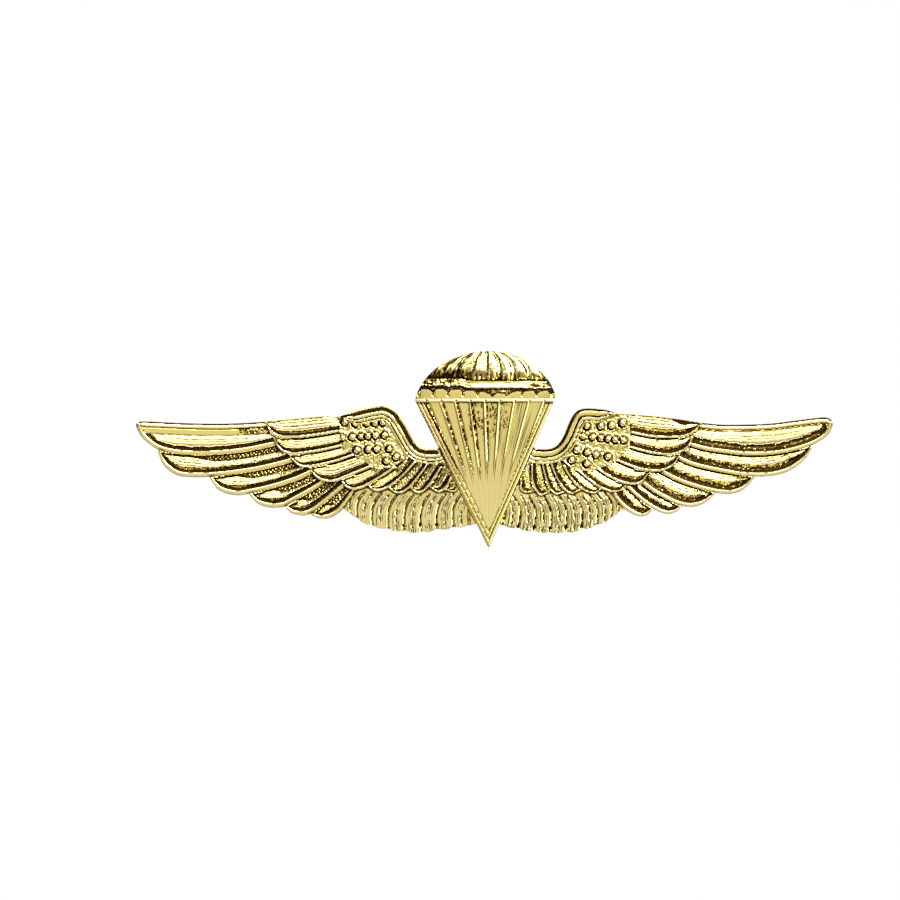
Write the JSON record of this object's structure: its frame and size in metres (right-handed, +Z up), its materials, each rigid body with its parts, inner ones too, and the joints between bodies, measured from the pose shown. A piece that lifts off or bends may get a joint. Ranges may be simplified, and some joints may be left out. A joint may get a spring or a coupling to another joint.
{
  "type": "parachutist wings badge",
  "caption": "Gold-plated metal breast badge of two spread wings with an open parachute between them, pinned through cloth by nail posts and butterfly clutches.",
  "frame": {"origin": "middle of the flat seat on the badge's back, on the line of the two posts, where it bears on the cloth", "axes": "+X to the viewer's right along the wings, +Y out of the back towards the wearer, +Z up as worn; the front faces -Y"},
  "size_m": [0.0689, 0.0115, 0.0195],
  "materials": {
    "gold_plate": "bright polished gold plate on struck brass, darker in the recesses",
    "post_brass": "drawn brass nail, satin",
    "clutch_brass": "pressed brass, bright with fine drawing lines",
    "wing_brass": "stamped spring brass, satin",
    "spring_steel": "drawn spring wire",
    "solder": "dull grey tin solder"
  },
  "bodies": {
    "badge": {"wing_plate": "gold_plate", "parachute": "gold_plate", "left_post": "post_brass", "right_post": "post_brass", "left_solder": "solder", "right_solder": "solder"},
    "left_clutch": {"left_clutch_cover": "clutch_brass", "left_clutch_base": "clutch_brass", "left_clutch_spring": "spring_steel"},
    "right_clutch": {"right_clutch_cover": "clutch_brass", "right_clutch_base": "clutch_brass", "right_clutch_spring": "spring_steel"},
    "left_outer_wing": {"left_clutch_outer_wing": "wing_brass"},
    "left_inner_wing": {"left_clutch_inner_wing": "wing_brass"},
    "right_outer_wing": {"right_clutch_outer_wing": "wing_brass"},
    "right_inner_wing": {"right_clutch_inner_wing": "wing_brass"}
  },
  "joints": [
    {"name": "left_clutch_slide", "type": "slide", "parent": "badge", "child": "left_clutch", "axis": [0, 1, 0], "range_m": [-0.001, 0.009]},
    {"name": "right_clutch_slide", "type": "slide", "parent": "badge", "child": "right_clutch", "axis": [0, 1, 0], "range_m": [-0.001, 0.009]},
    {"name": "left_outer_wing_pinch", "type": "hinge", "parent": "left_clutch", "child": "left_outer_wing", "pos_m": [-0.01485, 0.004, 0], "axis": [0, 0, -1], "range_deg": [0, 12], "stiffness_Nm_per_rad": 0.05},
    {"name": "left_inner_wing_pinch", "type": "hinge", "parent": "left_clutch", "child": "left_inner_wing", "pos_m": [-0.00955, 0.004, 0], "axis": [0, 0, 1], "range_deg": [0, 12], "stiffness_Nm_per_rad": 0.05},
    {"name": "right_outer_wing_pinch", "type": "hinge", "parent": "right_clutch", "child": "right_outer_wing", "pos_m": [0.01485, 0.004, 0], "axis": [0, 0, 1], "range_deg": [0, 12], "stiffness_Nm_per_rad": 0.05},
    {"name": "right_inner_wing_pinch", "type": "hinge", "parent": "right_clutch", "child": "right_inner_wing", "pos_m": [0.00955, 0.004, 0], "axis": [0, 0, -1], "range_deg": [0, 12], "stiffness_Nm_per_rad": 0.05}
  ]
}
